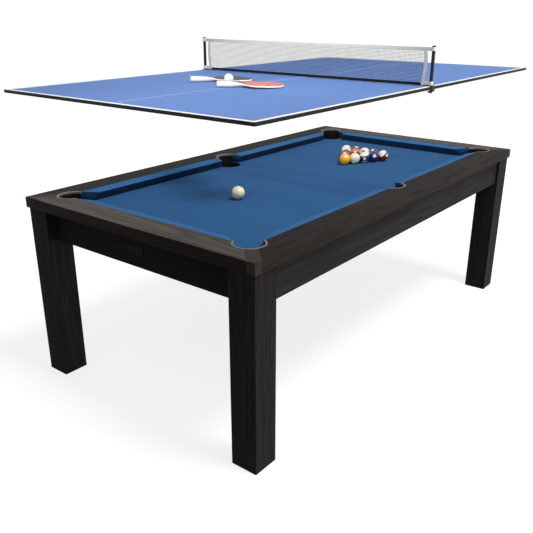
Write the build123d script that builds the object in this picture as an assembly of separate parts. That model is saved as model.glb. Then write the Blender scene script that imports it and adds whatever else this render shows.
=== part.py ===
from build123d import *
from math import asin, atan2, degrees, radians, sqrt, tan
import os

# Games table: a pool table on four square legs, with a lift-off conversion top for table tennis and dining.
# The origin is on the floor under the middle of the table. +X runs to the foot end and +Z is up.
# The head end is at -X and the right side at -Y. All sizes are in millimetres.

# Overall sizes
table_length = 2210.0
table_width = 1220.0
table_height = 800.0
overrun = 5.0              # how far a cut runs past the face that it opens
seam = 0.3                 # gap at a joint line between two wooden pieces
rest_gap = 0.3             # gap under a loose piece that stands on another

# Legs and aprons
leg_width = 112.0
leg_inset = 8.0            # rail's outer face to the leg's outer face
leg_edge = 2.0             # rounding of the leg's long edges
apron_height = 130.0
apron_thickness = 18.0
end_apron_setback = 38.0   # leg's outer face to the end apron's outer face
side_apron_setback = 15.0
ledger_width = 18.0
ledger_height = 30.0
ledger_stop = 215.0        # table's end to the ledger's end
beam_width = 40.0
beam_height = 80.0
beam_shares = (-0.33, -0.13, 0.13, 0.33)

# Bed
bed_thickness = 25.0
bed_gap = 1.0              # board's edge to the apron or the leg
cloth_thickness = 1.0

# Rails, corner pieces and their bolts
rail_width = 112.0
rail_thickness = 44.0
rail_edge = 3.0            # rounding of the top outer edge
corner_piece_edge = 34.0   # length of the corner piece along each outer edge
bolt_line = 92.0           # table's edge to the line of rail bolts
bolt_radius = 4.0
bolt_head_radius = 8.0
bolt_head_height = 5.0
bolt_grip = 25.0           # length of bolt in the rail
hole_clearance = 0.1
side_bolt_shares = (-0.37, -0.225, -0.08, 0.08, 0.225, 0.37)
end_bolt_shares = (-0.24, 0.0, 0.24)

# Cushions
cushion_depth = 45.0       # wooden rail's inner edge to the nose
nose_height = 37.0         # nose above the cloth
nose_face = 5.0            # height of the nose's blunt front
cushion_foot = 29.0        # width of the cushion's underside
cushion_foot_rise = 3.0
cushion_skin = 1.0         # thickness of the cloth over the rubber
corner_jaw_angle = 38.0    # jaw face to the rail's line, in degrees
side_jaw_angle = 76.0

# Pockets
corner_pocket_inset = 133.0   # pocket's centre to both outer edges
corner_pocket_radius = 62.0
side_pocket_inset = 138.0
side_pocket_radius = 66.0
rim_width = 8.0
rim_height = 10.0
rim_proud = 1.2            # height of the rim over the rail
rim_overhang = 4.0         # how far the rim's ends run past the wooden rail
rim_edge = 1.5
liner_clearance = 0.3
liner_wall = 3.0
liner_floor = 4.0
liner_depth = 85.0         # cloth to the liner's underside
leg_bite_clearance = 3.0   # cup to the hollow cut in the leg
jaw_overlap = 0.5          # pocket's edge to the start of the cushion

# Corner brackets and their screws
bracket_apron_leaf = 45.0
bracket_leg_leaf = 18.0
bracket_thickness = 3.0
bracket_height = 38.0
bracket_rise = 4.0         # apron's underside to the bracket
screw_radius = 2.0
screw_head_radius = 4.5
screw_head_height = 2.5
screw_length = 16.0
screw_line = 10.0          # apron's face to the screws on the leg's leaf
screw_height_shares = (0.25, 0.75)
apron_screw_shares = (0.4, 0.8)

# Name plate, left bare
plate_width = 90.0
plate_height = 32.0
plate_thickness = 2.0
plate_border = 3.0
plate_recess = 0.8

# Levelling feet
foot_radius = 25.0
foot_height = 11.0
foot_recess = 1.0          # leg's underside to the foot
foot_clearance = 2.0
foot_edge = 1.5
foot_socket = 7.0          # depth of the stem in the foot
stem_radius = 5.0
stem_length = 55.0
thread_clearance = 0.05
insert_wall = 3.0
insert_length = 26.0
stem_room = 6.0            # free length over the stem

# Conversion top
top_overhang = 18.0
top_thickness = 12.0
top_lift = 400.0           # height of the raised top over its seat on the rails
band_thickness = 2.0
rest_pad_size = 28.0
rest_pad_height = 16.0
rest_pad_line = 92.0       # table's edge to the middle of the pads
rest_pad_edge = 3.0
end_pad_share = 0.31
side_pad_shares = (0.16, 0.395)
join_plate_length = 100.0
join_plate_width = 30.0
join_plate_thickness = 3.0
join_plate_shares = (-0.33, 0.0, 0.33)
join_screw_length = 12.0
join_screw_shares = (-0.36, -0.16, 0.16, 0.36)

# Net, posts and clamps
post_radius = 7.0
post_height = 151.0
post_inset = 9.0           # top's edge to the post and the screw
post_cap_radius = 8.0
post_cap_height = 4.0
jaw_plate = 3.0
jaw_width = 26.0
jaw_reach = 40.0           # length of the upper jaw over the top
lower_jaw_reach = 17.0
jaw_fillet = 1.0
clamp_pad_radius = 6.0
clamp_pad_height = 2.0
clamp_travel = 3.0
clamp_screw_radius = 3.0
clamp_socket = 1.2         # depth of the screw in the pad
knob_radius = 8.0
knob_height = 5.0
knob_gap = 0.5
knob_flutes = 10
net_height = 150.0
net_ground = 12.0          # lowest strand over the top
net_band_ground = 1.0      # foot band's lower edge over the top
net_end_gap = 25.0         # post's middle to the net's end
tape_width = 15.0
tape_ground = 4.0          # end tapes' foot over the top
tape_thickness = 1.6
strand = 1.4
net_thickness = 1.0
net_columns = 60
net_rows = 5
tape_loop = 1.2            # thickness of the tape round the post

# Bats and balls
bat_length = 268.0
bat_head_share = 0.635     # head's part of the bat's length
bat_head_width = 156.0
bat_wood = 6.0
bat_rubber = 2.0
bat_rubber_inset = 1.0
bat_grip_share = 0.365     # handle's part of it
bat_grip_width = 28.0
bat_grip_thickness = 22.0
bat_grip_edge = 6.0
bat_neck_width = 40.0
bat_neck_share = 0.03      # part of the head's length that the rubber leaves bare
red_bat_end = (-566.0, 23.0)
red_bat_heading = -44.0
black_bat_end = (-492.0, 240.0)
black_bat_heading = -33.0
tennis_ball_radius = 20.0
tennis_ball_place = (-430.0, 80.0)
ball_radius = 57.15 / 2
ball_gap = 0.2
cue_ball_x = -474.0
rack_apex_x = 380.0
rack_rows = 5

# Lengths of the bats that follow
bat_head_length = bat_length * bat_head_share
bat_grip_length = bat_length * bat_grip_share

# Heights that follow
rail_underside = table_height - rail_thickness
cloth_top = rail_underside
bed_top = cloth_top - cloth_thickness
bed_underside = bed_top - bed_thickness
apron_bottom = rail_underside - apron_height
liner_bottom = cloth_top - liner_depth
rim_bottom = table_height - rim_height
top_underside = table_height + rest_pad_height + top_lift
playing_face = top_underside + top_thickness

# Distances from the table's outer edges that follow
leg_inner = leg_inset + leg_width
end_apron_outer = leg_inset + end_apron_setback
end_apron_inner = end_apron_outer + apron_thickness
side_apron_outer = leg_inset + side_apron_setback
side_apron_inner = side_apron_outer + apron_thickness

half_length = table_length / 2
half_width = table_width / 2
top_half_length = half_length + top_overhang
top_half_width = half_width + top_overhang
post_y = top_half_width - post_inset


def block(x, y, z):
    """Box between two values on each axis."""
    size = (x[1] - x[0], y[1] - y[0], z[1] - z[0])
    return Pos((x[0] + x[1]) / 2, (y[0] + y[1]) / 2, (z[0] + z[1]) / 2) * Box(*size)


def rod(x, y, z, radius):
    """Upright cylinder between two heights."""
    return Pos(x, y, (z[0] + z[1]) / 2) * Cylinder(radius, z[1] - z[0])


def peg(point, along, radius, length):
    """Cylinder that starts at a point and runs along a direction."""
    upright = Cylinder(radius, length, align=(Align.CENTER, Align.CENTER, Align.MIN))
    return Plane(origin=point, z_dir=along) * upright


def screw(point, along, length, radius=screw_radius, head=screw_head_radius, head_height=screw_head_height):
    """Screw whose head stands on a surface at the point."""
    back = tuple(-value for value in along)
    return peg(point, along, radius, length) + peg(point, back, head, head_height)


def prism(points, z):
    """Upright prism over a plan outline."""
    outline = make_face(Polyline(*points, close=True))
    return Pos(0, 0, z[0]) * extrude(outline, z[1] - z[0])


def turned(shape, end, side):
    """Copy of a piece of the head end's right corner, at the named end and side."""
    if end == "foot":
        shape = mirror(shape, about=Plane.YZ)
    if side == "left":
        shape = mirror(shape, about=Plane.XZ)
    return shape


def save(name, *shapes):
    """Writes one piece, or one group of like pieces."""
    solids = [solid for shape in shapes for solid in shape.solids()]
    export_step(solids[0] if len(solids) == 1 else Compound(solids), f"parts/{name}.step")


def at_corner(a, b):
    """Plan place of a point given by its distances from the head end and the right side."""
    return (a - half_length, b - half_width)


def corner_block(a, b, z, swap):
    """Box given from the outer edges. A swapped one belongs to the end apron instead of the side apron."""
    if swap:
        a, b = b, a
    low = at_corner(a[0], b[0])
    high = at_corner(a[1], b[1])
    return block((low[0], high[0]), (low[1], high[1]), z)


def corner_screw(a, b, z, towards_leg, swap):
    """Bracket screw that runs into the leg or into the apron."""
    direction = (-1, 0, 0) if towards_leg != swap else (0, -1, 0)
    place = at_corner(b, a) if swap else at_corner(a, b)
    return (*place, z), direction


CORNERS = [(end, side) for end in ("head", "foot") for side in ("right", "left")]
bracket_bottom = apron_bottom + bracket_rise


def bracket_faces(swap):
    """Distances of the leg's face and the apron's face that a bracket lies on."""
    return leg_inner, end_apron_inner if swap else side_apron_inner


def bracket(swap):
    """Angle bracket between a leg and an apron."""
    leg_face, apron_face = bracket_faces(swap)
    z = (bracket_bottom, bracket_bottom + bracket_height)
    on_apron = corner_block(
        (leg_face, leg_face + bracket_apron_leaf), (apron_face, apron_face + bracket_thickness), z, swap)
    on_leg = corner_block(
        (leg_face, leg_face + bracket_thickness), (apron_face, apron_face + bracket_leg_leaf), z, swap)
    body = on_apron + on_leg
    for point, along in bracket_screw_places(swap):
        body -= screw_hole(point, along)
    return body


def bracket_screw_places(swap):
    """Screw heads' places on one bracket, and the directions in which the screws run."""
    leg_face, apron_face = bracket_faces(swap)
    places = []
    for share in screw_height_shares:
        z = bracket_bottom + bracket_height * share
        places.append(
            corner_screw(leg_face + bracket_thickness, apron_face + screw_line, z, True, swap))
    for share in apron_screw_shares:
        z = bracket_bottom + bracket_height / 2
        a = leg_face + bracket_apron_leaf * share
        places.append(corner_screw(a, apron_face + bracket_thickness, z, False, swap))
    return places


def screw_hole(point, along):
    """Hole for a bracket screw."""
    return peg(point, along, screw_radius + hole_clearance, screw_length + hole_clearance)


def leg():
    """Leg of the head end's right corner, hollowed at the top for the pocket and bored for its foot."""
    low = at_corner(leg_inset, leg_inset)
    high = at_corner(leg_inner, leg_inner)
    body = block((low[0], high[0]), (low[1], high[1]), (0, rail_underside))
    body = fillet(body.edges().filter_by(Axis.Z), leg_edge)
    pocket = at_corner(corner_pocket_inset, corner_pocket_inset)
    hollow = (liner_bottom - leg_bite_clearance, rail_underside + overrun)
    body -= rod(*pocket, hollow, cup_radius(corner_pocket_radius) + leg_bite_clearance)
    middle = leg_middle()
    recess = foot_recess + foot_height + foot_clearance
    body -= rod(*middle, (-overrun, recess), foot_radius + foot_clearance)
    body -= rod(*middle, (0, recess + insert_length), stem_radius + insert_wall + thread_clearance)
    body -= rod(*middle, (0, stem_top + stem_room), stem_radius + foot_clearance)
    for swap in (False, True):
        for point, along in bracket_screw_places(swap):
            body -= screw_hole(point, along)
    return body


def leg_middle():
    """Plan place of the middle of the head end's right leg."""
    return at_corner(leg_inset + leg_width / 2, leg_inset + leg_width / 2)


stem_bottom = foot_recess + foot_height - foot_socket
stem_top = stem_bottom + stem_length


def foot():
    """Round foot that turns on the end of its stem."""
    middle = leg_middle()
    z = (foot_recess, foot_recess + foot_height)
    body = rod(*middle, z, foot_radius)
    body = fillet(body.edges().filter_by(GeomType.CIRCLE), foot_edge)
    return body - rod(*middle, (stem_bottom - rest_gap, z[1] + overrun), stem_radius + thread_clearance)


def stem():
    """Threaded stem of a foot."""
    return chamfer_ends(rod(*leg_middle(), (stem_bottom, stem_top), stem_radius))


def chamfer_ends(body):
    """Bevels both ends of a rod."""
    return chamfer(body.edges().filter_by(GeomType.CIRCLE), stem_radius / 6)


def insert():
    """Threaded insert that holds a stem in its leg."""
    recess = foot_recess + foot_height + foot_clearance
    z = (recess, recess + insert_length)
    hole = (z[0] - overrun, z[1] + overrun)
    middle = leg_middle()
    return rod(*middle, z, stem_radius + insert_wall) - rod(*middle, hole, stem_radius + thread_clearance)


def end_apron():
    """Board between the legs of the head end."""
    outer = (end_apron_outer - half_length, end_apron_inner - half_length)
    reach = half_width - leg_inner
    return block(outer, (-reach, reach), (apron_bottom, rail_underside))


def side_apron():
    """Board between the legs of the right side."""
    outer = (side_apron_outer - half_width, side_apron_inner - half_width)
    reach = half_length - leg_inner
    return block((-reach, reach), outer, (apron_bottom, rail_underside))


def drilled(apron, swap):
    """Apron with its bracket screws' holes at both ends."""
    for point, along in bracket_screw_places(swap):
        hole = screw_hole(point, along)
        apron -= hole
        apron -= mirror(hole, about=Plane.XZ if swap else Plane.YZ)
    return apron


def name_plate():
    """Bare plate with a raised border on the head end's apron."""
    face = end_apron_outer - half_length
    middle = apron_bottom + apron_height / 2
    z = (middle - plate_height / 2, middle + plate_height / 2)
    body = block((face - plate_thickness, face), (-plate_width / 2, plate_width / 2), z)
    body = fillet(body.edges().filter_by(Axis.X), plate_border)
    field_y = plate_width / 2 - plate_border
    field_z = (z[0] + plate_border, z[1] - plate_border)
    field_x = (face - plate_thickness - overrun, face - plate_thickness + plate_recess)
    return body - block(field_x, (-field_y, field_y), field_z)


def ledgers():
    """Four strips inside the aprons, under the bed board."""
    z = (bed_underside - ledger_height, bed_underside)
    end_x = (end_apron_inner - half_length, end_apron_inner + ledger_width - half_length)
    end_reach = half_width - ledger_stop
    end_strip = block(end_x, (-end_reach, end_reach), z)
    side_y = (side_apron_inner - half_width, side_apron_inner + ledger_width - half_width)
    side_reach = half_length - ledger_stop
    side_strip = block((-side_reach, side_reach), side_y, z)
    return [end_strip, turned(end_strip, "foot", "right"), side_strip, turned(side_strip, "head", "left")]


def cross_beams():
    """Beams from apron to apron, notched over the side ledgers."""
    reach = half_width - side_apron_inner
    z = (bed_underside - beam_height, bed_underside)
    beams = []
    for share in beam_shares:
        x = table_length * share
        beam = block((x - beam_width / 2, x + beam_width / 2), (-reach, reach), z)
        for strip in ledgers():
            beam -= strip
        beams.append(beam)
    return beams


def pocket_places():
    """Plan places and radii of the six pockets."""
    corner = (half_length - corner_pocket_inset, half_width - corner_pocket_inset)
    side = half_width - side_pocket_inset
    places = [(sx * corner[0], sy * corner[1], corner_pocket_radius) for sx in (-1, 1) for sy in (-1, 1)]
    return places + [(0, -side, side_pocket_radius), (0, side, side_pocket_radius)]


def bed_sheet(z):
    """Flat sheet between the aprons, cut out round the legs and the pockets and drilled for the bolts."""
    reach_x = half_length - end_apron_inner - bed_gap
    reach_y = half_width - side_apron_inner - bed_gap
    sheet = block((-reach_x, reach_x), (-reach_y, reach_y), z)
    notch = leg_inner + bed_gap
    cut_z = (z[0] - overrun, z[1] + overrun)
    for end, side in CORNERS:
        sheet -= turned(corner_block((0, notch), (0, notch), cut_z, False), end, side)
    for x, y, radius in pocket_places():
        sheet -= rod(x, y, cut_z, cup_radius(radius) + liner_clearance)
    for x, y in bolt_places():
        sheet -= rod(x, y, cut_z, bolt_radius + hole_clearance)
    return sheet


def cup_radius(radius):
    """Outer radius of the cup that hangs in a pocket's cut."""
    return radius - rim_width + liner_wall


def bolt_places():
    """Plan places of the bolts that hold the rails down on the bed."""
    line_x = half_length - bolt_line
    line_y = half_width - bolt_line
    sides = [(table_length * share, sign * line_y) for share in side_bolt_shares for sign in (-1, 1)]
    ends = [(sign * line_x, table_width * share) for share in end_bolt_shares for sign in (-1, 1)]
    return sides + ends


def rail_bolts():
    """Bolts from under the bed board up into the rails."""
    bolts = []
    length = bed_thickness + cloth_thickness + bolt_grip
    for x, y in bolt_places():
        head = RegularPolygon(bolt_head_radius, 6)
        head = Pos(x, y, bed_underside - bolt_head_height) * extrude(head, bolt_head_height)
        bolts.append(rod(x, y, (bed_underside, bed_underside + length), bolt_radius) + head)
    return bolts


def bored(rail):
    """Rail with the holes for its bolts."""
    z = (rail_underside, rail_underside + bolt_grip + rest_gap)
    for x, y in bolt_places():
        rail -= rod(x, y, z, bolt_radius + hole_clearance)
    return rail


def rail_outline(reach, edge):
    """Plan of a rail along X with its outer edge on y = edge, mitred at both ends."""
    outer = reach - corner_piece_edge - seam
    inner = outer - rail_width
    return [(-outer, edge), (outer, edge), (inner, edge + rail_width), (-inner, edge + rail_width)]


def side_rail():
    """Wooden rail of the right side, mitred to the corner pieces and cut out for three pockets."""
    body = prism(rail_outline(half_length, -half_width), (rail_underside, table_height))
    outer = body.edges().filter_by(Axis.X).group_by(Axis.Z)[-1].sort_by(Axis.Y)[0]
    return pocketed(fillet(outer, rail_edge))


def end_rail():
    """Wooden rail of the head end."""
    outline = [(y, x) for x, y in rail_outline(half_width, -half_length)]
    body = prism(outline, (rail_underside, table_height))
    outer = body.edges().filter_by(Axis.Y).group_by(Axis.Z)[-1].sort_by(Axis.X)[0]
    return pocketed(fillet(outer, rail_edge))


def corner_piece():
    """Plain piece between two rails, from the outer corner to the pocket."""
    edge = corner_piece_edge
    far = corner_pocket_inset - corner_pocket_radius / 2
    points = [
        at_corner(0, 0),
        at_corner(edge, 0),
        at_corner(far + edge, far),
        at_corner(far, far + edge),
        at_corner(0, edge),
    ]
    body = prism(points, (rail_underside, table_height))
    top = body.edges().group_by(Axis.Z)[-1]
    outer = top.filter_by(Axis.X) + top.filter_by(Axis.Y)
    return pocketed(fillet(outer, rail_edge))


def pocketed(body):
    """Cuts the pockets out of a rail or corner piece."""
    for x, y, radius in pocket_places():
        body -= rod(x, y, (rail_underside - overrun, table_height + overrun), radius)
    return body


def cushion_section(skin):
    """Outline of a cushion, from the wooden rail to the nose. A skin makes it larger all round."""
    depth = cushion_depth - cushion_skin + skin
    top = rail_thickness - cushion_skin + skin
    nose = nose_height - cushion_skin + skin
    foot = cushion_foot - cushion_skin + skin
    low = cushion_skin - skin
    return [
        (0, low),
        (foot, low),
        (foot + cushion_foot_rise, low + cushion_foot_rise),
        (depth, nose - nose_face - skin),
        (depth, nose),
        (0, top),
    ]


def cushion_body(start, stop, start_run, stop_run, skin):
    """Cushion along +X with its back on the line y = 0. Each end slants by its run between back and nose."""
    trim = cushion_skin - skin
    points = [(0, across, up) for across, up in cushion_section(skin)]
    section = make_face(Polyline(*points, close=True))
    bar = Pos(start, 0, cloth_top) * extrude(section, stop - start, dir=(1, 0, 0))
    plan = [
        (start + trim, 0),
        (stop - trim, 0),
        (stop - stop_run - trim, cushion_depth),
        (start + start_run + trim, cushion_depth),
    ]
    return bar & prism(plan, (cloth_top - overrun, table_height + overrun))


def half_chord(inset, radius):
    """Half the pocket's width where it meets the wooden rail's inner edge."""
    return sqrt(radius ** 2 - (inset - rail_width) ** 2)


def cushion_runs():
    """How far each kind of jaw slants back between the rail and the nose."""
    return cushion_depth / tan(radians(corner_jaw_angle)), cushion_depth / tan(radians(side_jaw_angle))


def side_cushion(skin):
    """Cushion of the right side's head half."""
    corner_run, side_run = cushion_runs()
    corner = half_chord(corner_pocket_inset, corner_pocket_radius) + jaw_overlap
    middle = half_chord(side_pocket_inset, side_pocket_radius) + jaw_overlap
    start = corner_pocket_inset + corner - half_length
    body = cushion_body(start, -middle, corner_run, side_run, skin)
    return Pos(0, rail_width - half_width, 0) * body


def end_cushion(skin):
    """Cushion of the head end."""
    corner_run = cushion_runs()[0]
    corner = half_chord(corner_pocket_inset, corner_pocket_radius) + jaw_overlap
    start = corner_pocket_inset + corner - half_width
    body = cushion_body(start, -start, corner_run, corner_run, skin)
    return Pos(rail_width - half_length, 0, 0) * mirror(Rot(0, 0, 90) * body, about=Plane.YZ)


def covers(shape):
    """Cushion cloth: the outer form less the rubber."""
    return shape(cushion_skin) - shape(0)


def open_side(z):
    """Space over the playing surface, where the pockets are open to the bed."""
    reach_x = half_length - rail_width
    reach_y = half_width - rail_width
    return block((-reach_x, reach_x), (-reach_y, reach_y), z)


def sign_of(value):
    """-1, 0 or 1."""
    return (value > 0) - (value < 0)


def pocket_rim(x, y, radius):
    """Rim band inside a pocket's cut, its top edges rounded. It ends a little past the wooden rail."""
    width = rim_width - liner_clearance
    height = rim_height + rim_proud
    section = Pos(radius - rim_width + width / 2, rim_bottom + height / 2) * Rectangle(width, height)
    section = fillet(section.vertices().group_by(Axis.Y)[-1], rim_edge)
    inset = corner_pocket_inset if x else side_pocket_inset
    end_angle = degrees(asin((inset - rail_width - rim_overhang) / radius))
    span = (270 if x else 180) - 2 * end_angle
    outward = degrees(atan2(sign_of(y), sign_of(x)))
    band = revolve(Plane.XZ * section, Axis.Z, span)
    return Pos(x, y, 0) * Rot(0, 0, outward - span / 2) * band


def pocket_rims():
    """Grey rim bands on the rails round the pockets."""
    return [pocket_rim(*place) for place in pocket_places()]


def pocket_liners():
    """Cups that catch the balls. Each hangs on the bed by the wall that stands behind its pocket."""
    liners = []
    for x, y, radius in pocket_places():
        wall = rod(x, y, (cloth_top, rim_bottom), radius - liner_clearance)
        wall -= open_side((bed_top, table_height))
        cup = rod(x, y, (liner_bottom, cloth_top), cup_radius(radius)) + wall
        liners.append(cup - rod(x, y, (liner_bottom + liner_floor, table_height), radius - rim_width))
    return liners


def top_board():
    """Head half of the conversion top."""
    reach = top_half_width - band_thickness
    x = (band_thickness - top_half_length, -seam / 2)
    body = block(x, (-reach, reach), (top_underside, playing_face))
    for point, along in join_screw_places():
        body -= peg(point, along, screw_radius + hole_clearance, join_screw_length + hole_clearance)
    return body


def edge_band():
    """Edge band round three sides of the head half."""
    z = (top_underside, playing_face)
    outer = block((-top_half_length, -seam / 2), (-top_half_width, top_half_width), z)
    reach = top_half_width - band_thickness
    core_z = (z[0] - overrun, z[1] + overrun)
    return outer - block((band_thickness - top_half_length, overrun), (-reach, reach), core_z)


def rest_pads():
    """Pads under the top, which stand on the rails and keep the top clear of the balls."""
    end_x = half_length - rest_pad_line
    side_y = half_width - rest_pad_line
    places = [(sx * end_x, sy * table_width * end_pad_share) for sx in (-1, 1) for sy in (-1, 1)]
    for share in side_pad_shares:
        places += [(sx * table_length * share, sy * side_y) for sx in (-1, 1) for sy in (-1, 1)]
    half = rest_pad_size / 2
    z = (top_underside - rest_pad_height, top_underside)
    pads = []
    for x, y in places:
        pad = block((x - half, x + half), (y - half, y + half), z)
        pads.append(fillet(pad.edges().filter_by(Axis.Z), rest_pad_edge))
    return pads


def join_screw_places():
    """Heads' places of the screws that hold the joining plates."""
    places = []
    for plate in join_plate_shares:
        for share in join_screw_shares:
            point = (join_plate_length * share, table_width * plate, top_underside - join_plate_thickness)
            places.append((point, (0, 0, 1)))
    return places


def joining_plates():
    """Steel plates across the seam under the top."""
    plates = []
    half_x = join_plate_length / 2
    half_y = join_plate_width / 2
    for share in join_plate_shares:
        y = table_width * share
        z = (top_underside - join_plate_thickness, top_underside)
        plate = block((-half_x, half_x), (y - half_y, y + half_y), z)
        for point, along in join_screw_places():
            plate -= peg(point, along, screw_radius + hole_clearance, join_screw_length)
        plates.append(plate)
    return plates


jaw_top = playing_face + jaw_plate
lower_jaw_top = top_underside - clamp_pad_height - clamp_travel - 2 * rest_gap
lower_jaw_bottom = lower_jaw_top - jaw_plate


def net_post():
    """Post of the right side with the clamp that grips the top's edge."""
    half = jaw_width / 2
    edge = -top_half_width
    x = (-half, half)
    upper = block(x, (edge - jaw_plate, edge + jaw_reach), (playing_face, jaw_top))
    web = block(x, (edge - jaw_plate, edge), (lower_jaw_bottom, jaw_top))
    lower = block(x, (edge - jaw_plate, edge + lower_jaw_reach), (lower_jaw_bottom, lower_jaw_top))
    frame = upper + web + lower
    frame = fillet(frame.edges().filter_by(Axis.X).group_by(Axis.Y)[0], jaw_fillet)
    hole = (lower_jaw_bottom - overrun, (lower_jaw_top + top_underside) / 2)
    frame -= rod(0, -post_y, hole, clamp_screw_radius + thread_clearance)
    top = playing_face + post_height
    tube = rod(0, -post_y, (jaw_top, top), post_radius)
    cap = rod(0, -post_y, (top, top + post_cap_height), post_cap_radius)
    return frame + tube + fillet(cap.edges().group_by(Axis.Z)[-1], rim_edge)


def clamp_pad():
    """Pad that presses on the underside of the top."""
    z = (top_underside - rest_gap - clamp_pad_height, top_underside - rest_gap)
    pad = rod(0, -post_y, z, clamp_pad_radius)
    return pad - rod(0, -post_y, (z[0] - overrun, z[0] + clamp_socket), clamp_screw_radius + thread_clearance)


def clamp_screw():
    """Clamping screw with its fluted knob."""
    tip = top_underside - rest_gap - clamp_pad_height + clamp_socket - rest_gap
    knob_top = lower_jaw_bottom - knob_gap
    knob = rod(0, -post_y, (knob_top - knob_height, knob_top), knob_radius)
    for index in range(knob_flutes):
        flute = Rot(0, 0, 360 * index / knob_flutes) * Pos(knob_radius, 0, 0)
        place = Pos(0, -post_y, knob_top - knob_height / 2)
        knob -= place * flute * Cylinder(knob_radius / 8, knob_height + overrun)
    return knob + rod(0, -post_y, (knob_top, tip), clamp_screw_radius)


net_reach = post_y - net_end_gap
net_top = playing_face + net_height
net_bottom = playing_face + net_ground


def net_mesh():
    """Net between its tapes, as one holed face with some thickness."""
    width = 2 * (net_reach - tape_width)
    height = net_top - tape_width - net_bottom
    pitch_y = (width - strand) / net_columns
    pitch_z = (height - strand) / net_rows
    hole = Rectangle(pitch_y - strand, pitch_z - strand)
    face = Rectangle(width, height) - GridLocations(pitch_y, pitch_z, net_columns, net_rows) * hole
    middle = (net_bottom + net_top - tape_width) / 2
    upright = Plane(origin=(-net_thickness / 2, 0, middle), x_dir=(0, 1, 0), z_dir=(1, 0, 0))
    return upright * extrude(face, net_thickness)


def net_tapes():
    """White tapes along the top and both ends of the net, with their loops round the posts."""
    half = tape_thickness / 2
    top_z = (net_top - tape_width, net_top)
    ring_outer = post_radius + liner_clearance + tape_loop
    bar = block((-half, half), (-post_y, post_y), top_z)
    foot = playing_face + tape_ground
    low_z = (foot, foot + tape_width)
    for sign in (-1, 1):
        y = sign * (net_reach - tape_width / 2)
        side = block((-half, half), (y - tape_width / 2, y + tape_width / 2), (foot, net_top))
        foot_span = sorted((sign * post_y, sign * net_reach))
        bar += side + block((-half, half), foot_span, low_z)
        for z in (top_z, low_z):
            bar += rod(0, sign * post_y, z, ring_outer)
    for sign in (-1, 1):
        bar -= rod(0, sign * post_y, (foot - overrun, net_top + overrun), post_radius + liner_clearance)
    return bar


def net_foot_band():
    """Black band along the net's foot, between its end tapes."""
    half = tape_thickness / 2
    reach = net_reach - tape_width
    return block((-half, half), (-reach, reach), (playing_face + net_band_ground, net_bottom))


def bat_outline():
    """Plan of a bat's wooden blade, its handle's end at the origin and its tip on +X."""
    centre = bat_length - bat_head_length / 2
    head = Pos(centre, 0) * Ellipse(bat_head_length / 2, bat_head_width / 2)
    neck_end = centre - bat_head_length / 4
    half_grip = bat_grip_width / 2
    shoulder = bat_head_width / 2 * sqrt(3) / 2
    neck = [
        (0, -half_grip),
        (bat_grip_length, -half_grip),
        (bat_grip_length + bat_neck_width / 4, -bat_neck_width / 2),
        (neck_end, -shoulder),
        (neck_end, shoulder),
        (bat_grip_length + bat_neck_width / 4, bat_neck_width / 2),
        (bat_grip_length, half_grip),
        (0, half_grip),
    ]
    return head + make_face(Polyline(*neck, close=True))


def bat_blade():
    """Wooden blade with its two handle scales, about its own middle plane."""
    wood = Pos(0, 0, -bat_wood / 2) * extrude(bat_outline(), bat_wood)
    half = bat_grip_width / 2
    thick = bat_grip_thickness / 2
    grip = block((0, bat_grip_length), (-half, half), (-thick, thick))
    return wood + fillet(grip.edges().filter_by(Axis.X), bat_grip_edge)


def bat_rubbers():
    """Two rubber sheets of a bat."""
    centre = bat_length - bat_head_length / 2
    half_length_of_disc = bat_head_length / 2 - bat_rubber_inset
    half_width_of_disc = bat_head_width / 2 - bat_rubber_inset
    disc = Pos(centre, 0) * Ellipse(half_length_of_disc, half_width_of_disc)
    edge = bat_length - bat_head_length * (1 - bat_neck_share)
    face = disc & Pos((edge + bat_length) / 2, 0) * Rectangle(bat_length - edge, bat_head_width)
    upper = Pos(0, 0, bat_wood / 2) * extrude(face, bat_rubber)
    return [upper, mirror(upper, about=Plane.XY)]


def bat_placement(end, heading):
    """Lays a bat on the top, tilted so that the handle and the blade's tip both touch it."""
    rise = (bat_grip_thickness - bat_wood) / 2 - bat_rubber
    run = bat_length - bat_grip_length
    tilt = degrees(atan2(rise, run))
    seated = Rot(0, 0, heading) * Rot(0, tilt, 0)
    lowest = min((seated * shape).bounding_box().min.Z for shape in [bat_blade(), *bat_rubbers()])
    return Pos(*end, playing_face + rest_gap - lowest) * seated


def object_balls():
    """Triangle of fifteen balls, its apex towards the cue ball."""
    pitch = 2 * ball_radius + ball_gap
    z = cloth_top + rest_gap + ball_radius
    balls = []
    for row in range(rack_rows):
        x = rack_apex_x + row * pitch * sqrt(3) / 2
        for place in range(row + 1):
            balls.append(Pos(x, (place - row / 2) * pitch, z) * Sphere(ball_radius))
    return balls


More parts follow.
